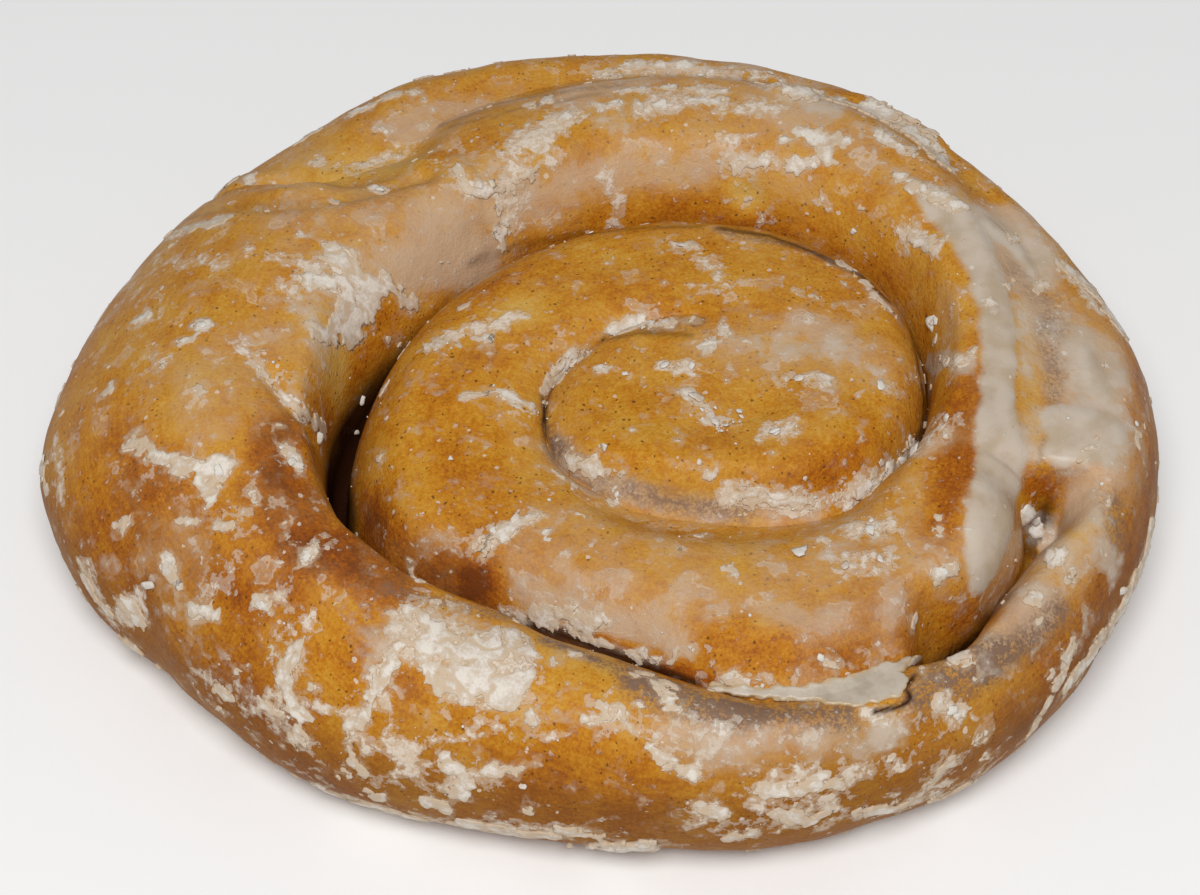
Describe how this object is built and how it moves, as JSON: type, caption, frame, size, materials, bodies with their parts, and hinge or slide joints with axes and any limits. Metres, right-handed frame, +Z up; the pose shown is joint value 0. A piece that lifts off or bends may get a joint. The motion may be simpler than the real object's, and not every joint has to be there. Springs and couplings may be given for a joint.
{
  "type": "honey bun",
  "caption": "Glazed sweet bun: a rope of browned dough wound into a flat oval coil, lying on its flat underside.",
  "frame": {"origin": "middle of the bun's bounding box, on the plane it rests on", "axes": "+X along the bun's longest extent, +Y across it towards the tall back of the coil, +Z up"},
  "size_m": [0.1264, 0.1088, 0.033],
  "materials": {
    "dough": "golden brown fried dough under a thin, partly clear sugar glaze",
    "glaze": "dried white sugar glaze, milky where thin, cracked and flaking"
  },
  "bodies": {
    "root": {"bun": "dough"}
  },
  "joints": []
}
